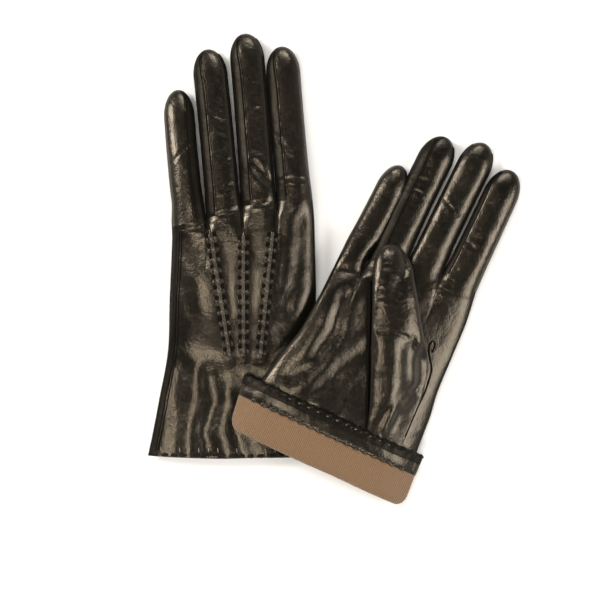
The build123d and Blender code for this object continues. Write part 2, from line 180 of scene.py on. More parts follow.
def distance(u, v, path):
    """Distance of each place from a path of straight pieces."""
    best = np.full(np.shape(u), 1e9)
    for (a, b), (c, d) in zip(path[:-1], path[1:]):
        t = np.clip(((u - a) * (c - a) + (v - b) * (d - b)) / ((c - a) ** 2 + (d - b) ** 2), 0, 1)
        best = np.minimum(best, np.hypot(u - a - t * (c - a), v - b - t * (d - b)))
    return best


def crease(u, v, path, width, depth):
    """A furrow with a soft shoulder on both sides."""
    d = distance(u, v, path) / width
    return -depth * np.exp(-(d**2)) + 0.45 * depth * np.exp(-((d - 1.9) ** 2))


WAVES = {}


def ripple(u, v, size, seed):
    """Soft random waves of about the given size, between -1 and 1."""
    if seed not in WAVES:
        r = np.random.default_rng(seed)
        WAVES[seed] = (r.uniform(0, 2 * math.pi, 7), r.uniform(0, 2 * math.pi, 7), r.uniform(0.7, 1.5, 7))
    turn, phase, rate = WAVES[seed]
    total = 0
    for t, p, f in zip(turn, phase, rate):
        total = total + np.sin((u * math.cos(t) + v * math.sin(t)) * f * 2 * math.pi / size + p)
    return total / 7


# ---------------------------------------------------------------- wrinkles: path, width, depth
LEFT_CREASES = [
    ([(-19, 139), (-8, 142), (3, 145.5)], 1.2, 0.35),
    ([(5, 148), (14, 148.5), (24, 151)], 1.3, 0.45),
    ([(28, 163), (35, 164), (44, 162.5)], 0.9, 0.4),
    ([(-8, 157), (-1, 160), (3, 157)], 1.0, 0.35),
    ([(12, 172), (17, 166), (23, 161)], 2.6, 0.9),
    ([(-17, 205), (-10, 201), (-4, 200)], 0.8, 0.35),
    ([(-14, 193), (-8, 191), (-3, 191)], 0.8, 0.25),
    ([(-12, 177), (-4, 174), (2, 177)], 0.9, 0.3),
    ([(2, 222), (10, 223), (19, 221)], 0.8, 0.2),
    ([(7, 203), (13, 208), (20, 207)], 1.0, 0.3),
    ([(25, 190), (29, 184), (34, 178)], 1.3, 0.4),
    ([(-39, 172), (-32, 180), (-27, 185)], 0.9, 0.25),
    ([(-40, 130), (-31, 134), (-22, 134)], 1.4, 0.5),
    ([(-38, -6), (-35, 14), (-37, 34), (-32, 50)], 5.0, 0.9),
    ([(-12, -6), (-18, 12), (-12, 30), (-15, 44)], 5.6, 1.1),
    ([(8, -6), (0, 14), (5, 32)], 5.4, 0.8),
    ([(-37, 108), (-30, 98), (-26, 84)], 3.6, 0.7),
    ([(30, 88), (37, 100), (39, 122), (40, 138)], 4.0, 0.6),
]
RIGHT_CREASES = [
    ([(-36, 112), (-27, 115), (-20, 119)], 2.4, 0.35),
    ([(-28, 100), (-26, 80), (-29, 60)], 3.6, 0.6),
    ([(20, 127), (32, 126), (43, 128)], 1.2, 0.25),
    ([(-37, 42), (-28, 56), (-24, 76), (-29, 96)], 4.6, 0.8),
    ([(-22, 34), (-14, 50), (-8, 66), (-1, 76)], 4.2, 0.6),
    ([(-23, 172), (-14, 174), (-4, 171)], 0.9, 0.25),
    ([(-21, 180), (-14, 182), (-6, 179)], 0.8, 0.2),
    ([(0, 178), (6, 174), (14, 171)], 0.9, 0.35),
    ([(23, 160), (31, 157), (40, 160)], 1.2, 0.2),
]


def relief(g, u, v):
    """Height of the wrinkles on the upper side."""
    z = 0.5 * ripple(u, v, 34, 3) + 0.16 * ripple(u, v, 13, 4) + 0.05 * ripple(u, v * 2.2, 6, 5)
    for path, width, depth in LEFT_CREASES if g is LEFT else RIGHT_CREASES:
        z = z + crease(u, v, path, width, depth)
    if g is LEFT:
        for far, near in g["points"]:
            d = distance(u, v, [far, near])
            z = z + 0.9 * np.exp(-((d / 4.2) ** 2))
        z = z + 0.45 * np.sin(u / 8.5 + 0.05 * v) * step(-v, -50, -12)
    return z


def palm_height(g, u, v):
    """Half height of the palm, which falls to nothing at its two edges."""
    left, right = look(g["t_edges"], 0, v), look(g["t_edges"], 1, v)
    a = np.clip((2 * u - left - right) / (right - left), -1, 1)
    return look(g["t_palm"], 2, v) * (1 - np.abs(a) ** 3.4) ** 0.5


def finger_round(d):
    """Share of a finger's half height, with d from -1 to 1 across it."""
    return (1 - np.abs(d) ** 2.3) ** 0.5


X = -np.cos(np.linspace(0, math.pi, COLUMNS + 1))  # -1 to 1 across a strip
SHARE = (1 + X) / 2


def palm_sheet(g, side):
    """Upper (side 1) or lower (side -1) surface of the palm up to the crotches: u, v, z by row and column."""
    crotches = np.array(g["crotches"], float)
    t = np.linspace(0, 1, PALM_ROWS + 1)
    us, vs, ds, ends = [], [], [], []
    for k in range(len(FINGERS)):
        for c, x in enumerate(X):
            if k and not c:
                continue
            at = crotches[k] * (1 - SHARE[c]) + crotches[k + 1] * SHARE[c]
            v = t * at[1]
            left, right = look(g["t_edges"], 0, v), look(g["t_edges"], 1, v)
            even = left + (right - left) * (k + SHARE[c]) / 4
            left, right = look(g["t_edges"], 0, at[1]), look(g["t_edges"], 1, at[1])
            last = left + (right - left) * (k + SHARE[c]) / 4
            us.append(even + (at[0] - last) * step(t, 0.35, 1))
            vs.append(v)
            ds.append(np.full_like(v, x))
            ends.append(np.full_like(v, at[1]))
    u, v, d, end = (np.array(a).T for a in (us, vs, ds, ends))
    w = 0.3 * step(v - end, -34, -6) + 0.7 * step(v - end, -11, 0)
    body = palm_height(g, u, v)
    edge = np.minimum(1, body / look(g["t_palm"], 2, v) * 1.02)
    h = body * (1 - w) + FINGER_H * finger_round(d) * w
    h[:, 0] = 0
    h[:, -1] = 0
    z = mid(g, u, v) + side * h
    if side > 0:
        z = z + relief(g, u, v) * edge * np.sqrt(np.clip(h / 4, 0, 1))
    return u, v, z


def heading(line):
    """Direction and length of a finger or another line, given its two ends first."""
    (u0, v0), (u1, v1) = line[:2]
    size = math.hypot(u1 - u0, v1 - v0)
    return (u1 - u0) / size, (v1 - v0) / size, size


def finger_sheet(g, k, side, inset=0.0):
    """Upper or lower surface of a finger from the crotch line to its tip, with s along it and q across."""
    f = g["fingers"][k]
    a, b = np.array(g["crotches"][k], float), np.array(g["crotches"][k + 1], float)
    du, dv, size = heading(f)
    base = a[None] * (1 - SHARE[:, None]) + b[None] * SHARE[:, None]
    rel = base - np.array(f[0])
    s0 = rel @ np.array([du, dv])
    q0 = rel @ np.array([dv, -du])
    dome = DOME - inset
    t = np.linspace(0, 1, FINGER_ROWS - DOME_ROWS + 1)
    flat = s0[None] * (1 - t[:, None]) + (size - DOME) * t[:, None]
    phi = np.linspace(0, math.pi / 2, DOME_ROWS + 1)[1:]
    top = np.repeat((size - DOME + dome * np.sin(phi))[:, None], len(X), 1)
    s = np.vstack([flat, top])
    shrink = np.concatenate([np.ones(len(t)), np.maximum(np.cos(phi), 0.0)])[:, None]
    half = (f[2] + (f[3] - f[2]) * np.clip(s / size, 0, 1) - inset) * shrink
    q = X[None] * half
    fade = 1 - step(s - s0[None], 0, ROOT_BLEND)
    q = q + (q0[None] - X[None] * (f[2] - inset)) * fade * (1 - inset / 12)
    along = s / size
    bow = f[5] * 4 * along * (1 - along) * step(s, 4, 20)
    u = f[0][0] + s * du + (q + bow) * dv
    v = f[0][1] + s * dv - (q + bow) * du
    h = (FINGER_H - inset) * finger_round(X)[None] * shrink**0.9
    z = mid(g, u, v) + side * h
    if side > 0 and inset == 0:
        z = z + relief(g, u, v) * np.sqrt(np.clip(h / 4, 0, 1)) * 0.9
    return u, v, z


# ---------------------------------------------------------------- meshes
def grid_faces(rows, columns, flip):
    """Corner numbers of a grid's four-sided faces."""
    out = []
    for r in range(rows - 1):
        for c in range(columns - 1):
            a = r * columns + c
            quad = (a, a + 1, a + columns + 1, a + columns)
            out.append(quad[::-1] if flip else quad)
    return out


class Builder:
    """Collects grids in the world frame and makes one mesh of them."""

    def __init__(self):
        self.points, self.faces, self.flat = [], [], []

    def grid(self, g, u, v, z, flip=False):
        start = sum(len(p) for p in self.points)
        self.points.append(place(g, u, v, z).reshape(-1, 3))
        self.flat.append(np.stack([u, v], -1).reshape(-1, 2))
        self.faces += [tuple(i + start for i in f) for f in grid_faces(*u.shape, flip)]

    def make(self, name, material):
        points, flat = np.concatenate(self.points), np.concatenate(self.flat)
        mesh = bpy.data.meshes.new(name)
        mesh.from_pydata(points.tolist(), [], self.faces)
        layer = mesh.uv_layers.new(name="flat")
        index = np.empty(len(mesh.loops), int)
        mesh.loops.foreach_get("vertex_index", index)
        layer.data.foreach_set("uv", (flat[index] / UV_SCALE).ravel())
        mesh.materials.append(material)
        obj = bpy.data.objects.new(name, mesh)
        bpy.context.scene.collection.objects.link(obj)
        work = bmesh.new()
        work.from_mesh(mesh)
        bmesh.ops.remove_doubles(work, verts=work.verts, dist=WELD)
        bmesh.ops.dissolve_degenerate(work, dist=0.000001, edges=work.edges)
        for face in work.faces:
            face.smooth = True
        work.to_mesh(mesh)
        work.free()
        return obj


def blobs(g, spots, sizes, name, material):
    """Small rounded lumps: each spot is (u, v, z, direction in degrees), each size three half lengths."""
    theta = np.linspace(0, math.pi, 9)
    phi = np.linspace(0, 2 * math.pi, 13)
    sx = np.outer(np.sin(theta), np.cos(phi))
    sy = np.outer(np.sin(theta), np.sin(phi))
    sz = np.outer(np.cos(theta), np.ones_like(phi))
    build = Builder()
    for (u, v, z, turn), (a, b, c) in zip(spots, sizes):
        t = math.radians(turn)
        x, y = sx * a, sy * b
        lump_u, lump_v = u + x * math.cos(t) - y * math.sin(t), v + x * math.sin(t) + y * math.cos(t)
        build.grid(g, lump_u, lump_v, z + sz * c)
    return build.make(name, material)


def tube(g, path, radius, build):
    """A thin round line along (u, v, z) points, added to a builder."""
    p = np.array(path, float)
    d = np.gradient(p, axis=0)
    d /= np.linalg.norm(d, axis=1)[:, None]
    side = np.stack([d[:, 1], -d[:, 0], np.zeros(len(p))], 1)
    side /= np.linalg.norm(side, axis=1)[:, None] + 1e-9
    up = np.cross(side, d)
    phi = np.linspace(0, 2 * math.pi, 9)
    cos, sin = np.cos(phi)[None, :, None], np.sin(phi)[None, :, None]
    ring = p[:, None] + radius * (cos * side[:, None] + sin * up[:, None])
    build.grid(g, ring[..., 0], ring[..., 1], ring[..., 2])


# ---------------------------------------------------------------- materials
def new_material(name):
    m = bpy.data.materials.new(name)
    m.use_nodes = True
    t = m.node_tree
    return m, t.nodes, t.links, t.nodes["Principled BSDF"]


def add_node(nodes, kind, **values):
    """A new shader node with some of its inputs set, a space in a socket's name written as _."""
    made = nodes.new("ShaderNode" + kind)
    for socket, value in values.items():
        made.inputs[socket.replace("_", " ")].default_value = value
    return made


def scale_and_add(nodes, links, scaled, factor, added):
    """scaled * factor + added"""
    made = nodes.new("ShaderNodeMath")
    made.operation = "MULTIPLY_ADD"
    made.inputs[1].default_value = factor
    links.new(scaled, made.inputs[0])
    links.new(added, made.inputs[2])
    return made.outputs[0]


def colour_ramp(nodes, *stops):
    """Two stops of (position, colour)."""
    ramp = nodes.new("ShaderNodeValToRGB")
    for stop, (position, colour) in zip(ramp.color_ramp.elements, stops):
        stop.position = position
        stop.color = (*colour, 1)
    return ramp


def leather(name, dark, light, rough, grain, gloss):
    """Nappa: fine grain, faint pores, soft colour and gloss variation, duller towards its rims."""
    m, n, l, p = new_material(name)
    where = n.new("ShaderNodeTexCoord")
    cloud = add_node(n, "TexNoise", Scale=28, Detail=3)
    cells = add_node(n, "TexVoronoi", Scale=1150)
    fine = add_node(n, "TexNoise", Scale=420, Detail=4)
    wrinkle = add_node(n, "TexNoise", Scale=70, Detail=3, Distortion=0.5)
    for tex in (cloud, cells, fine, wrinkle):
        l.new(where.outputs["Object"], tex.inputs["Vector"])
    ramp = colour_ramp(n, (0.35, dark), (0.7, light))
    l.new(cloud.outputs["Fac"], ramp.inputs["Fac"])
    l.new(ramp.outputs["Color"], p.inputs["Base Color"])
    span = add_node(n, "MapRange", To_Min=rough - 0.06, To_Max=rough + 0.1)
    l.new(fine.outputs["Fac"], span.inputs["Value"])
    facing = add_node(n, "LayerWeight", Blend=0.5)
    rim = add_node(n, "MapRange", From_Min=0.3, From_Max=0.75, To_Max=0.45)
    l.new(facing.outputs["Facing"], rim.inputs["Value"])
    total = n.new("ShaderNodeMath")
    l.new(span.outputs["Result"], total.inputs[0])
    l.new(rim.outputs["Result"], total.inputs[1])
    l.new(total.outputs[0], p.inputs["Roughness"])
    small = add_node(n, "Bump", Strength=grain, Distance=0.0004)
    l.new(scale_and_add(n, l, cells.outputs["Distance"], 0.55, fine.outputs["Fac"]), small.inputs["Height"])
    big = add_node(n, "Bump", Strength=0.3, Distance=0.0012)
    l.new(wrinkle.outputs["Fac"], big.inputs["Height"])
    l.new(small.outputs["Normal"], big.inputs["Normal"])
    l.new(big.outputs["Normal"], p.inputs["Normal"])
    p.inputs["Specular IOR Level"].default_value = gloss
    p.inputs["Specular Tint"].default_value = (1.0, 0.86, 0.68, 1)
    return m


def knit(name):
    """Fine ribbed knit: ribs run along v, with rows of loops across them."""
    m, n, l, p = new_material(name)
    uv = n.new("ShaderNodeUVMap")
    uv.uv_map = "flat"
    ribs = add_node(n, "TexWave", Scale=27, Distortion=0.6, Detail_Scale=3)
    ribs.bands_direction = "X"
    loops = add_node(n, "TexWave", Scale=34, Distortion=0.8)
    loops.bands_direction = "Y"
    fuzz = add_node(n, "TexNoise", Scale=60, Detail=5)
    for tex in (ribs, loops, fuzz):
        l.new(uv.outputs["UV"], tex.inputs["Vector"])
    mix = scale_and_add(n, l, loops.outputs["Fac"], 0.35, ribs.outputs["Fac"])
    ramp = colour_ramp(n, (0.05, (0.13, 0.073, 0.036)), (1.0, (0.215, 0.13, 0.07)))
    l.new(mix, ramp.inputs["Fac"])
    l.new(ramp.outputs["Color"], p.inputs["Base Color"])
    bump = add_node(n, "Bump", Strength=0.8, Distance=0.0004)
    l.new(scale_and_add(n, l, fuzz.outputs["Fac"], 0.5, mix), bump.inputs["Height"])
    l.new(bump.outputs["Normal"], p.inputs["Normal"])
    p.inputs["Roughness"].default_value = 0.9
    p.inputs["Sheen Weight"].default_value = 0.3
    p.inputs["Specular IOR Level"].default_value = 0.2
    return m


# name, dark and light colour, roughness, grain, gloss
black = leather("nappa", (0.0022, 0.0021, 0.0017), (0.0062, 0.0052, 0.0037), 0.22, 0.32, 0.62)
# a darker, duller copy of the nappa: painted shade on the fourchettes, the palm's side bands, the left hem's
# scallops and the turned cuff's edge band
shaded_nappa = leather("painted_shade_nappa", (0.0014, 0.0013, 0.001), (0.003, 0.0026, 0.002), 0.36, 0.35, 0.17)
# a lighter copy of the nappa: painted highlight on the raised points' beads and cords
highlight_nappa = leather("laced_nappa_painted_highlight", (0.012, 0.011, 0.0095), (0.03, 0.027, 0.023), 0.26, 0.15, 0.8)
thread = leather("thread", (0.09, 0.083, 0.072), (0.2, 0.185, 0.16), 0.45, 0.5, 0.5)
# near-black: the seams' own dark lines, and painted shade in the points' notches and in the gap beside the right
# thumb
seam_and_shade = leather("seam_edge_and_painted_shade", (0.0008, 0.0008, 0.0007), (0.0016, 0.0015, 0.0013), 0.6, 0.35, 0.08)
cream = knit("ribbed_knit")


# ---------------------------------------------------------------- gloves
class Surface:
    """Height of a glove's upper side at any place on the palm."""

    def __init__(self, u, v, z):
        self.z = z.ravel()
        self.tree = KDTree(len(self.z))
        for i, (a, b) in enumerate(zip(u.ravel(), v.ravel())):
            self.tree.insert((a, b, 0), i)
        self.tree.balance()

    def __call__(self, u, v):
        found = self.tree.find_n((u, v, 0), 4)
        weights = [1 / (d + 0.05) for _, _, d in found]
        return sum(self.z[i] * w for (_, i, _), w in zip(found, weights)) / sum(weights)


def bend_with(obj):
    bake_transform(obj)


def lying_thumb(side, inset=0.0):
    """The left thumb lies flat on the table, under the palm and the fingers' roots."""
    u0, v0 = LEFT["thumb"][0]
    du, dv, size = heading(LEFT["thumb"])
    rows = np.array(LEFT["thumb_rows"])  # place along it, half width, half height
    last = rows[-1, 0]
    body = np.linspace(rows[0, 0] + inset, last, THUMB_ROWS)
    phi = np.linspace(0, math.pi / 2, 22)[1:]
    s = np.concatenate([body, last + (size - last - inset) * np.sin(phi)])
    shrink = np.concatenate([np.ones(THUMB_ROWS), np.cos(phi)])
    half = (np.interp(s, rows[:, 0], rows[:, 1]) - inset) * shrink
    tall = (np.interp(s, rows[:, 0], rows[:, 2]) - inset) * shrink**0.8
    x = -np.cos(np.linspace(0, math.pi, 41))
    q = x[None] * half[:, None]
    u = u0 + s[:, None] * du + q * dv
    v = v0 + s[:, None] * dv - q * du
    h = np.maximum(tall, 0.05)[:, None] * (1 - np.abs(x) ** 2.4) ** 0.5
    return u, v, (np.interp(s, rows[:, 0], rows[:, 2]) + 0.1)[:, None] + side * h


THUMB_EDGES = [  # share of the length, then the left and right edges: it grows out of the palm at the cuff
    (0.0, 18.5, 30, 41.5, 30),
    (0.12, 13.8, 45, 41.0, 47),
    (0.28, 6.6, 61.5, 40.4, 62),
    (0.42, -0.2, 77, 37.2, 78),
    (0.52, -5.0, 87.5, 31.2, 89.5),
    (0.62, -9.1, 97.0, 23.2, 99.5),
    (0.74, -13.7, 107.5, 14.2, 113.5),
    (0.86, -18.0, 117.5, 5.2, 126.0),
]
THUMB_TIP = (-15.4, 138.6)
THUMB_FOLDS = [
    ([(-1, 88), (7, 91), (16, 92)], 1.1, 0.5),
    ([(24, 92), (25, 82), (31, 70)], 2.4, -0.7),
    ([(33, 60), (28, 48), (27, 34)], 2.6, -0.7),
    ([(35, 66), (30, 54), (31, 40)], 2.0, 0.5),
    ([(-14, 124), (-8, 126), (0, 124)], 0.7, 0.16),
    ([(-13, 119), (-6, 121), (3, 119)], 0.7, 0.18),
    ([(-12, 115), (-4, 116), (5, 114)], 0.7, 0.16),
    ([(-11, 111), (-3, 113), (7, 110)], 0.7, 0.2),
    ([(-9, 106), (0, 109), (10, 106)], 0.8, 0.18),
    ([(-8, 102), (1, 104), (11, 102)], 0.8, 0.16),
]


def grown_thumb(surface, side, inset=0.0):
    """The right thumb lies on the palm and is sewn to it along its index side, down to the cuff."""
    rows = np.array(THUMB_EDGES)
    last = rows[-1, 0]
    t = np.linspace(0.1 if inset else 0, last, THUMB_GROWN_ROWS)
    left = np.stack([np.interp(t, rows[:, 0], rows[:, k]) for k in (1, 2)], 1)
    right = np.stack([np.interp(t, rows[:, 0], rows[:, k]) for k in (3, 4)], 1)
    for _ in range(10):
        for edge in (left, right):
            edge[1:-1] = (edge[:-2] + 2 * edge[1:-1] + edge[2:]) / 4
    centre, half = (left + right) / 2, (right - left) / 2
    tip = np.array(THUMB_TIP) - centre[-1]
    phi = np.linspace(0, math.pi / 2, 26)[1:]
    reach = 1 - inset / np.hypot(*tip)
    centre = np.vstack([centre, centre[-1] + tip[None] * reach * np.sin(phi)[:, None]])
    shrink = np.concatenate([np.ones(len(t)), np.cos(phi)])
    half = np.vstack([half, np.repeat(half[-1:], len(phi), 0)]) * shrink[:, None]
    t = np.concatenate([t, last + (1 - last) * np.sin(phi)])
    size = np.hypot(half[:, 0], half[:, 1])
    half = half * (np.maximum(size - inset, 0) / np.maximum(size, 1e-6))[:, None]
    x = -np.cos(np.linspace(0, math.pi, THUMB_COLUMNS))
    u = centre[:, :1] + half[:, :1] * x[None]
    v = centre[:, 1:] + half[:, 1:] * x[None]
    thick = np.interp(t, [0, 0.15, 0.4, last, 1], [2.0, 5.4, 8.6, 8.6, 7.6]) * shrink**0.8
    sewn = (1 - step(t, 0.44, 0.6))[:, None] * step(x, -0.25, 1.0)[None]
    ground = np.array([[surface(a, b) for a, b in zip(ra, rb)] for ra, rb in zip(u[:, ::4], v[:, ::4])])
    every, fourth = np.arange(THUMB_COLUMNS), np.arange(0, THUMB_COLUMNS, 4)
    ground = np.array([np.interp(every, fourth, row) for row in ground])
    for _ in range(6):
        ground[1:-1] = (ground[:-2] + 2 * ground[1:-1] + ground[2:]) / 4
    middle = ground + 0.35 + thick[:, None] / 2 * (1 - sewn * 1.05)
    h = np.maximum(thick / 2 - inset, 0.05)[:, None] * (1 - np.abs(x) ** 2.5) ** 0.5
    z = middle + side * h * (1 - 0.75 * sewn)
    if side > 0 and not inset:
        bump = 0.3 * ripple(u, v, 19, 8) + 0.1 * ripple(u, v, 8, 9)
        for path, width, depth in THUMB_FOLDS:
            bump = bump + crease(u, v, path, width, depth)
        z = z + bump * np.sqrt(np.clip(h / 3, 0, 1))
    return u, v, z


def turned_edges(v):
    """The turned-up cuff's left and right outline, a little wider away from its fold."""
    return -55.2 - 4.2 * v / TURNUP, 55.2 - 2.3 * v / TURNUP


def cuff_rows(g, rows, columns=120, ruffle=0.0):
    """Closed loops round the cuff for (v, offset, 1 where turned up, lift): u, v, z with one row each."""
    x = -np.cos(np.linspace(0, math.pi, columns))
    xs = np.concatenate([x, x[::-1][1:]])
    side = np.concatenate([np.ones(columns), -np.ones(columns - 1)])
    us, vs, zs = [], [], []
    for v, off, turned, lift in rows:
        if turned:
            left, right = turned_edges(v)
        else:
            left, right = float(look(g["t_edges"], 0, v)), float(look(g["t_edges"], 1, v))
        half = (right - left) / 2 + off
        if turned and v < 6:
            half -= 5.0 * (1 - math.sqrt(1 - ((6 - max(v, -1.9)) / 8.2) ** 2))
        u = (left + right) / 2 + xs * half
        wave = ruffle * np.sin(u * 2 * math.pi / 6.0) * step(np.float64(v), 26, 31)
        vv = np.full_like(u, float(v)) + 0.5 * wave + 0.35 * ripple(u, u * 0 + v, 34, 12)
        h = (float(look(g["t_palm"], 2, v)) + off + lift) * (1 - np.abs(xs) ** 3.4) ** 0.5
        z = mid(g, u, np.full_like(u, max(v, 0.0))) + side * (h + 0.35 * wave)
        if turned:
            folds = 0.45 * ripple(u, vv, 30, 13) + 0.16 * ripple(u, vv, 10, 14)
            z = z + folds * (side > 0) * np.clip(h / 4, 0, 1)
        us.append(u)
        vs.append(vv)
        zs.append(np.maximum(z, 0.25))
    return np.array(us), np.array(vs), np.array(zs)


def make_palm(g):
    """Upper and lower skins of the hand, its side bands and its lining; gives the upper side's surface."""
    name = g["name"]
    hand = f"{name}_hand"
    up, low = g["up"], "palm" if g["up"] == "back" else "back"
    u, v, z = palm_sheet(g, 1)
    if g is RIGHT:  # pressed down under the turned-up cuff
        z = z - 0.5 * step(-v, -34, -28)
    first, last = (7, -4) if g is LEFT else (5, -4)  # columns of the side bands
    build = Builder()
    build.grid(g, *(q[:, first:last] for q in (u, v, z)))
    obj = build.make(f"{name}_{up}_leather", black)
    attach(obj, hand)
    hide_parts(f"{name}_hand_{up}")
    # the side bands use the darker nappa: painted shade along the palm's two edges
    build = Builder()
    build.grid(g, *(q[:, : first + 1] for q in (u, v, z)))
    build.grid(g, *(q[:, last - 1 :] for q in (u, v, z)))
    obj = build.make(f"{name}_side_bands", shaded_nappa)
    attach(obj, hand)
    lu, lv, lz = palm_sheet(g, -1)
    build = Builder()
    build.grid(g, lu, lv, np.maximum(lz, 0.15), flip=True)
    obj = build.make(f"{name}_{low}_leather", black)
    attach(obj, hand)
    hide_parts(f"{name}_hand_{low}")

    # the lining is drawn in from both skins and starts behind the hem's facing
    build = Builder()
    first = np.searchsorted(v[:, 0], 11.0 if g is LEFT else 2.0)
    for sheet, side in (((u, v, z), 1), ((lu, lv, lz), -1)):
        a, b, c = (q[first:] for q in sheet)
        centre = mid(g, a, b)
        thin = np.maximum(np.abs(c - centre) - 2.1, 0.15 * np.abs(c - centre))
        build.grid(g, centre_pull(g, a, b), b, centre + side * thin, flip=side > 0)
    obj = build.make(f"{name}_palm_lining", cream)
    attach(obj, hand)
    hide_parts(f"{name}_hand_lining")
    return Surface(u, v, z)


def make_finger(g, k):
    """A finger's leather, fourchettes, lining and raised seams."""
    name, finger = g["name"], FINGERS[k]
    body = f"{name}_{finger}"
    seam_a, seam_b = g["seams"][k]
    top, foot = finger_sheet(g, k, 1), finger_sheet(g, k, -1)
    foot = (foot[0], foot[1], np.maximum(foot[2], 0.12))
    ia = int(np.argmin(np.abs(X - seam_a))) if k else 0
    ib = int(np.argmin(np.abs(X - seam_b))) if k < 3 else COLUMNS
    ja = int(np.argmin(np.abs(X + 0.8))) if k else 0
    jb = int(np.argmin(np.abs(X - 0.8))) if k < 3 else COLUMNS
    skin, side_skin = Builder(), Builder()
    skin.grid(g, *(q[:, ia : ib + 1] for q in top))
    skin.grid(g, *(q[:, ja : jb + 1] for q in foot), flip=True)
    if k:
        side_skin.grid(g, *(q[:, : ia + 1] for q in top))
        side_skin.grid(g, *(q[:, : ja + 1] for q in foot), flip=True)
    if k < 3:
        side_skin.grid(g, *(q[:, ib:] for q in top))
        side_skin.grid(g, *(q[:, jb:] for q in foot), flip=True)
    obj = skin.make(f"{body}_leather", black)
    bend_with(obj)
    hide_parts(f"{body}_sheath", f"{body}_knuckle")
    # the fourchettes between the fingers are darker nappa: painted shade
    obj = side_skin.make(f"{body}_fourchettes", shaded_nappa)
    bend_with(obj)
    names = [f"{body}_gussets"]
    if k < 3:
        names.append(f"{name}_fourchette_{FINGERS[k + 1]}_{finger}")
    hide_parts(*names)

    inner = Builder()
    for side in (1, -1):
        iu, iv, iz = finger_sheet(g, k, side, inset=1.7)
        inner.grid(g, iu, iv, iz, flip=side > 0)
    obj = inner.make(f"{body}_lining_tube", cream)
    bend_with(obj)
    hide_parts(f"{body}_lining")

    lines = Builder()
    rows = len(top[0])
    for seam, on in ((seam_a, k > 0), (seam_b, k < 3)):
        if not on:
            continue
        inward = -1 if seam > 0 else 1
        for gap, lift, radius in ((0.0, 0.05, 0.42), (1.25, -0.12, 0.26)):  # the edge and the stitched line
            path = []
            for r in range(2, rows - 7):
                tip = max(0.0, (r - (rows - 26)) / 26)
                x = seam + (math.copysign(0.98, seam) - seam) * tip**2
                x += inward * gap / g["fingers"][k][2]
                p = [np.interp(x, X, q[r]) for q in top]
                path.append((p[0], p[1], p[2] + lift))
            tube(g, path, radius, lines)
    obj = lines.make(f"{body}_seams", seam_and_shade)
    bend_with(obj)


def make_thumb(g, surface):
    """A thumb's leather and lining. The right one bends out of the palm between two places on its line."""
    name = g["name"]
    skin, inner = Builder(), Builder()
    for side in (1, -1):
        if g is LEFT:
            outside, inside = lying_thumb(side), lying_thumb(side, 1.6)
        else:
            outside, inside = grown_thumb(surface, side), grown_thumb(surface, side, 2.6)
        a, b, c = outside
        skin.grid(g, a, b, np.maximum(c, 0.1), flip=side < 0)
        inner.grid(g, *inside, flip=side > 0)
    for builder, title, material, node, words in (
        (skin, "thumb_skin", black, "thumb_leather", "nappa_leather"),
        (inner, "thumb_knit", cream, "thumb_lining", "knit_lining"),
    ):
        obj = builder.make(f"{name}_{title}", material)
        if g is LEFT:
            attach(obj, f"{name}_thumb")
        else:
            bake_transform(obj)
        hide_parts(f"{name}_{node}")


def make_glove(g):
    surface = make_palm(g)
    for k in range(len(FINGERS)):
        make_finger(g, k)
    make_thumb(g, surface)
    return surface


def centre_pull(g, u, v):
    """Draws the lining in from the palm's two edges."""
    c = (look(g["t_edges"], 0, v) + look(g["t_edges"], 1, v)) / 2
    return c + (u - c) * 0.965


surfaces = {g["name"]: make_glove(g) for g in (LEFT, RIGHT)}


# ---------------------------------------------------------------- raised points on the back
def raised_points(g):
    """Each point is a row of beads on a pair of cords, with a leather shoulder at each side and, between the
    beads, a near-black lump as painted shade in each notch.
    """
    out = 1 if g is LEFT else -1
    beads, bead_sizes = [], []
    shoulders, shoulder_sizes = [], []
    notches, notch_sizes = [], []
    cords = Builder()

    def height(u, v):
        if g is LEFT:
            return float(surfaces["left"](u, v))
        return float(mid(g, np.float64(u), np.float64(v))) - float(look(g["t_palm"], 2, v))

    for far, near in g["points"]:
        du, dv, length = heading((near, far))
        turn = -math.degrees(math.atan2(du, dv))
        count = round(length / POINT_STEP)

        def at(s, q, lift):
            u, v = near[0] + s * du + q * dv, near[1] + s * dv - q * du
            return u, v, height(u, v) + out * lift

        for i in range(count):
            s = (i + 0.5) * length / count
            beads.append((*at(s, rng.normal(0, 0.12), 0.75), turn + rng.normal(0, 6)))
            bead_sizes.append((1.5 + rng.normal(0, 0.08), 1.75 + rng.normal(0, 0.12), 1.1))
            for q in (-2.45, 2.45):
                shoulders.append((*at(s + rng.normal(0, 0.15), q, 0.3), turn + rng.normal(0, 4)))
                shoulder_sizes.append((1.05, 1.25 + rng.normal(0, 0.08), 0.75))
                # near-black lumps between the beads: painted shade in the notches
                notches.append((*at(s + length / count / 2, q * 0.86, 0.3), turn + rng.normal(0, 5)))
                notch_sizes.append((1.3, 1.5 + rng.normal(0, 0.1), 0.42))
        for q in (-0.5, 0.5):
            tube(g, [at(s, q, 0.5) for s in np.linspace(0, length + 1.5, 50)], 0.42, cords)
    # the beads and cords are the lighter nappa: painted highlight
    for obj, extra in (
        (blobs(g, beads, bead_sizes, f"{g['name']}_raised_points", highlight_nappa), f"{g['name']}_points"),
        (blobs(g, shoulders, shoulder_sizes, f"{g['name']}_point_shoulders", black), None),
        (blobs(g, notches, notch_sizes, f"{g['name']}_point_notch_shade", seam_and_shade), None),
        (cords.make(f"{g['name']}_point_cords", highlight_nappa), None),
    ):
        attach(obj, f"{g['name']}_hand")
        if extra:
            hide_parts(extra)


for g in (LEFT, RIGHT):
    raised_points(g)


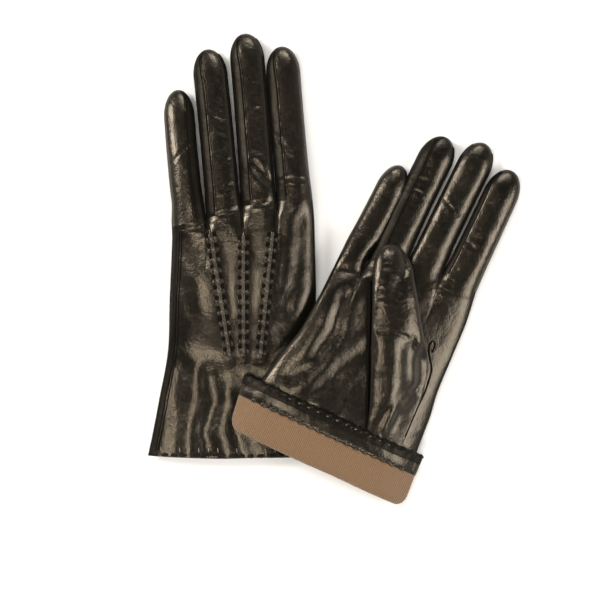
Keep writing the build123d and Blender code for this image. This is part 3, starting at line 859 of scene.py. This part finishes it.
def surface_lines(g, paths, radius, name, material, body, lift=0.05):
    """Thin lines that follow the upper side along smoothed paths."""
    build = Builder()
    for path in paths:
        dense = []
        for (a, b), (c, d) in zip(path[:-1], path[1:]):
            n = max(int(math.hypot(c - a, d - b) / 1.5), 2)
            dense += [(a + (c - a) * t, b + (d - b) * t) for t in np.linspace(0, 1, n, endpoint=False)]
        dense.append(path[-1])
        pts = np.array(dense)
        for _ in range(4):
            pts[1:-1] = (pts[:-2] + 2 * pts[1:-1] + pts[2:]) / 4
        tube(g, [(a, b, surfaces[g["name"]](a, b) + lift) for a, b in pts], radius, build)
    obj = build.make(name, material)
    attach(obj, body)
    return obj


def doubled(path, gap):
    """The path and a copy beside it."""
    return [[(u - gap / 2, v) for u, v in path], [(u + gap / 2, v) for u, v in path]]


tucks = []
for (far, near), crotch in zip(LEFT["points"], LEFT["crotches"][1:4]):
    tucks += doubled([far, ((far[0] + crotch[0]) / 2, (far[1] + crotch[1]) / 2), crotch], 1.3)
surface_lines(LEFT, tucks, 0.4, "left_tuck_seams", seam_and_shade, "left_hand", 0.15)
outseam = [(float(look(LEFT["t_edges"], 0, v)) + 4.6, float(v)) for v in np.linspace(3, 132, 40)]
surface_lines(LEFT, doubled(outseam, 1.5), 0.36, "left_side_seam", seam_and_shade, "left_hand")


def seen(px, py):
    """A place on the right glove from its place on the table, in millimetres."""
    a = math.radians(-RIGHT["turn"])
    dx, dy = px - RIGHT["place"][0], py - RIGHT["place"][1]
    return dx * math.cos(a) - dy * math.sin(a), dx * math.sin(a) + dy * math.cos(a)


# the thumb's seam runs up from the cuff and ends in a small teardrop, in places on the table
THUMB_SEAM = [(43, -101), (51, -83), (55.4, -74.3), (59.7, -60.4), (57.3, -52)]
TEARDROP = [(57.2, -46.5), (58.6, -43.2), (61.4, -43.4), (61.8, -46.4), (59.4, -50.6)]
seam_path = [seen(*spot) for spot in THUMB_SEAM + TEARDROP]
surface_lines(RIGHT, [seam_path], 0.5, "right_thumb_seam", seam_and_shade, "right_hand", 0.25)
# a near-black tube as painted shadow in the gap under the thumb's other edge, in the glove's own frame
THUMB_SHADOW_LINE = [(17.2, 33), (14.6, 39), (11.6, 46), (8, 54), (4.6, 62), (1.2, 69.5)]
THUMB_SHADOW_LINE += [(-2.2, 77.5), (-5.5, 85), (-8.6, 92.5), (-12, 100), (-15.2, 107.5), (-18, 113)]
surface_lines(RIGHT, [THUMB_SHADOW_LINE], 1.5, "right_thumb_shadow_line", seam_and_shade, "right_hand", -0.7)

# ---------------------------------------------------------------- left hem
# rows of a cuff: v, offset from the palm's outline, 1 where turned up, lift
HEM_ROWS = [(11.5, -2.0, 0, 0), (6, -1.7, 0, 0), (1.2, -1.4, 0, 0), (0.15, -0.9, 0, 0), (-0.35, -0.3, 0, 0)]
HEM_ROWS += [(0.1, 0.05, 0, 0)]
build = Builder()
build.grid(LEFT, *cuff_rows(LEFT, HEM_ROWS))
obj = build.make("left_hem_turning", black)
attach(obj, "left_hand")
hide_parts("left_hem_facing")
lumps, lump_sizes, marks, mark_sizes = [], [], [], []
for u in np.arange(-46.5, 47, 5.6):
    z = surfaces["left"](u, 1.0)
    lumps.append((u, 0.9, z - 0.35, 0))
    lump_sizes.append((2.5, 1.15, 0.85))
    marks.append((u + 2.8, 3.6, surfaces["left"](u + 2.8, 3.6) + 0.1, 8))
    mark_sizes.append((0.34, 1.25, 0.3))
# the scallops at the hem's edge are darker nappa: painted shade
obj = blobs(LEFT, lumps, lump_sizes, "left_hem_scallops", shaded_nappa)
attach(obj, "left_hand")
obj = blobs(LEFT, marks, mark_sizes, "left_hem_stitching", thread)
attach(obj, "left_hand")
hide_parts("left_hem_stitches")

# ---------------------------------------------------------------- turned-up cuff of the right glove
KNIT_ROWS = [(44, -2.2, 0, 0), (24, -2.2, 0, 0), (8, -2.0, 0, 0), (2, -1.8, 0, 0), (-0.4, -1.2, 0, 0)]
KNIT_ROWS += [(-1.5, -0.3, 1, 0), (-1.9, 0.7, 1, 0), (-1.3, 1.6, 1, 0.1), (0.4, 2.2, 1, 0.3),
              (3, 2.4, 1, 0.6)]
KNIT_ROWS += [(6, 2.4, 1, 0.8), (9, 2.4, 1, 0.8), (12, 2.4, 1, 0.7), (15, 2.4, 1, 0.6), (17.5, 2.4, 1, 0.4)]
KNIT_ROWS += [(19.4, 2.4, 1, 0.2)]
FACING_ROWS = [(18.6, 2.3, 1, 0.1), (19.2, 2.7, 1, 0.5), (20.4, 2.9, 1, 0.8), (23, 2.9, 1, 0.9),
               (26, 2.9, 1, 0.9)]
FACING_ROWS += [(28.5, 2.9, 1, 0.8), (30.2, 2.8, 1, 0.6), (31.2, 2.3, 1, 0.3), (31.5, 1.6, 1, 0.1)]
EDGE_ROWS = [(25.6, 3.0, 1, 0.95), (27.2, 3.05, 1, 0.95), (28.5, 3.05, 1, 0.85), (30.2, 2.95, 1, 0.65)]
EDGE_ROWS += [(31.3, 2.45, 1, 0.35), (31.7, 1.6, 1, 0.1)]
BACK_ROWS = [(31.5, 1.7, 1, 0), (30.5, 1.1, 1, 0), (26, 0.9, 1, 0), (14, 0.8, 1, 0), (0, 0.8, 1, 0)]
build = Builder()
build.grid(RIGHT, *cuff_rows(RIGHT, KNIT_ROWS, 170), flip=True)
obj = build.make("right_turned_knit", cream)
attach(obj, "right_hand")
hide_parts("right_turnup_lining")
build = Builder()
build.grid(RIGHT, *cuff_rows(RIGHT, FACING_ROWS, 260, ruffle=0.5), flip=True)
obj = build.make("right_turned_facing", black)
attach(obj, "right_hand")
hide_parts("right_hem_facing")
# the band at the turned cuff's free edge is darker nappa: painted shade
build = Builder()
build.grid(RIGHT, *cuff_rows(RIGHT, EDGE_ROWS, 260, ruffle=0.5), flip=True)
obj = build.make("right_turned_edge", shaded_nappa)
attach(obj, "right_hand")
build = Builder()
build.grid(RIGHT, *cuff_rows(RIGHT, BACK_ROWS, 170), flip=True)
obj = build.make("right_turned_leather", black)
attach(obj, "right_hand")
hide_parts("right_turnup_leather")


def turned_top(u, v):
    """Height of the turned-up cuff's upper side."""
    left, right = turned_edges(v)
    x = min(abs((2 * u - left - right) / (right - left)), 1)
    h = (float(look(RIGHT["t_palm"], 2, v)) + 3.6) * (1 - x**3.4) ** 0.5
    u, v = np.float64(u), np.float64(v)
    return float(mid(RIGHT, u, v)) + h + 0.3 * float(ripple(u, v, 30, 13))


lumps, lump_sizes, marks, mark_sizes = [], [], [], []
for u in np.arange(-56, 52, 6.0):
    lumps.append((u, 19.6, turned_top(u, 19.6) - 0.3, 0))
    lump_sizes.append((2.5, 1.5, 1.15))
lumps.append((54.6, 30.2, turned_top(53.0, 30.2), 20))  # end of the edging at the thumb's side
lump_sizes.append((2.0, 1.4, 1.1))
for u in np.arange(-56.5, 52, 3.1):
    marks.append((u, 29.3, turned_top(u, 29.3) - 0.1, 90))
    mark_sizes.append((0.3, 0.95, 0.26))
obj = blobs(RIGHT, lumps, lump_sizes, "right_turned_ruffle", black)
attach(obj, "right_hand")
obj = blobs(RIGHT, marks, mark_sizes, "right_turned_stitching", thread)
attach(obj, "right_hand")
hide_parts("right_hem_stitches")

# ---------------------------------------------------------------- table, light and camera
bpy.ops.mesh.primitive_plane_add(size=8)
floor = bpy.context.object
floor.name = "table"
m, _, _, p = new_material("table_white")
p.inputs["Base Color"].default_value = (0.93, 0.93, 0.93, 1)
p.inputs["Roughness"].default_value = 0.9
p.inputs["Specular IOR Level"].default_value = 0.1
floor.data.materials.append(m)

world = bpy.data.worlds.new("studio")
bpy.context.scene.world = world
world.use_nodes = True
wn, wl = world.node_tree.nodes, world.node_tree.links
sky = wn.new("ShaderNodeTexCoord")
split = wn.new("ShaderNodeSeparateXYZ")
fade = colour_ramp(wn, (0.1, (1.0, 0.99, 0.97)), (0.8, (0.04, 0.038, 0.034)))  # pale horizon, dark zenith
wl.new(sky.outputs["Generated"], split.inputs[0])
wl.new(split.outputs["Z"], fade.inputs["Fac"])
wl.new(fade.outputs["Color"], wn["Background"].inputs["Color"])
wn["Background"].inputs["Strength"].default_value = 0.7
bpy.context.scene.view_settings.view_transform = "Standard"


LIGHTS = (  # name, place, aim, size, watts, colour
    ("over", (-0.24, -0.2, 1.35), (-0.02, 0, 0), (0.34, 0.28), 4.2, (1, 0.93, 0.82)),
    ("key", (-0.95, 0.5, 0.95), (-0.03, 0, 0), (0.5, 0.5), 16, (1, 0.96, 0.9)),
    ("fill", (0.95, -0.3, 0.95), (0, 0, 0), (0.7, 0.5), 10, (1, 0.97, 0.93)),
    ("low", (-0.15, -1.0, 0.9), (-0.02, -0.03, 0), (0.5, 0.3), 6, (1, 0.96, 0.9)),
    ("back", (0.15, 1.0, 0.9), (0, 0.03, 0), (0.6, 0.3), 8, (1, 0.98, 0.95)),
)
for name, at, aim, size, power, colour in LIGHTS:
    data = bpy.data.lights.new(name, "AREA")
    data.shape = "RECTANGLE"
    data.size, data.size_y = size
    data.energy = power
    data.color = colour
    lamp = bpy.data.objects.new(name, data)
    bpy.context.scene.collection.objects.link(lamp)
    lamp.location = at
    lamp.rotation_euler = (Vector(aim) - Vector(at)).to_track_quat("-Z", "Y").to_euler()

HEIGHT = 1.6  # of the camera, in metres
FIELD = 0.36  # width of what it sees at the gloves' height
GLOVES_AT = 0.01
SENSOR = 36
CENTRE = (-0.0198, -0.0192)
camera_data = bpy.data.cameras.new("camera")
camera_data.sensor_width = SENSOR
camera_data.lens = SENSOR * (HEIGHT - GLOVES_AT) / FIELD
camera = bpy.data.objects.new("camera", camera_data)
camera.location = (CENTRE[0] + SHIFT[0] / 1000, CENTRE[1] + SHIFT[1] / 1000, HEIGHT)
bpy.context.scene.collection.objects.link(camera)
bpy.context.scene.camera = camera
